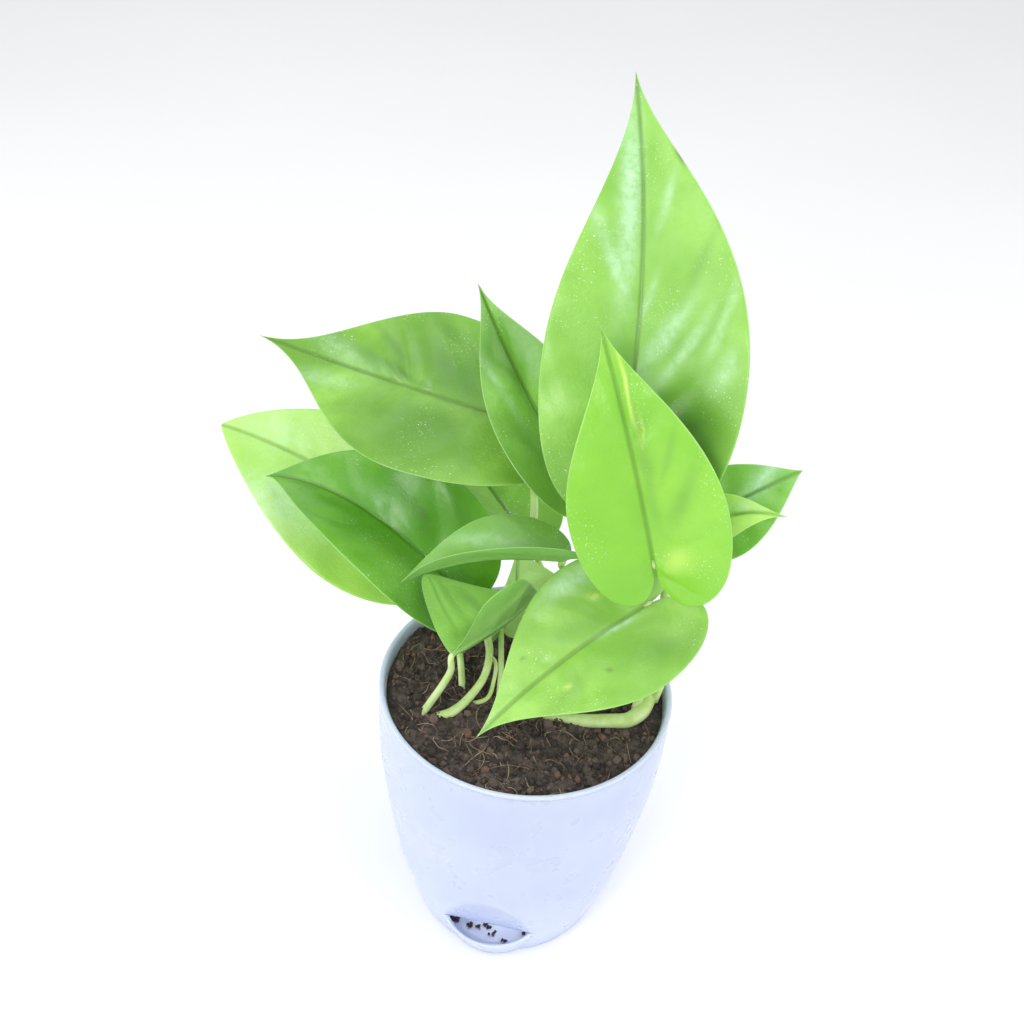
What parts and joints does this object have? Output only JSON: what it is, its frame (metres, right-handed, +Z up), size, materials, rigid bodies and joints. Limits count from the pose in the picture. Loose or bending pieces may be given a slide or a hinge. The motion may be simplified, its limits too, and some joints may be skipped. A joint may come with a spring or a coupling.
{
  "type": "potted golden pothos",
  "caption": "Potted pothos: heart-shaped leaves on petioles and stems, rooted in a soil-filled liner that hangs in a white self-watering pot with a filling spout.",
  "frame": {"origin": "middle of the outer pot's flat base", "axes": "+Z up through the pot, the filling spout faces -Y, +X to the right of the spout"},
  "size_m": [0.2357, 0.1493, 0.3172],
  "materials": {
    "pot": "smooth satin white injection-moulded plastic",
    "wick": "twisted cotton",
    "soil": "dark crumbly coconut-fibre potting mix with fibres",
    "stem": "pale green, smooth, slightly glossy",
    "leaf": "waxy bright lime green with soft gloss and pale veins"
  },
  "bodies": {
    "root": {"outer_pot": "pot", "inner_pot": "pot", "wick": "wick", "soil": "soil", "stem_right": "stem", "stem_left": "stem", "stem_back": "stem", "leaf_tall_back": "leaf", "leaf_front": "leaf", "leaf_low_front": "leaf", "leaf_folded_left": "leaf", "leaf_upright": "leaf", "leaf_upper_left": "leaf", "leaf_lower_left": "leaf", "leaf_far_left": "leaf", "leaf_small_folded": "leaf", "leaf_hidden_back": "leaf", "leaf_right_back": "leaf", "leaf_right_small": "leaf", "leaf_centre_back": "leaf"}
  },
  "joints": []
}
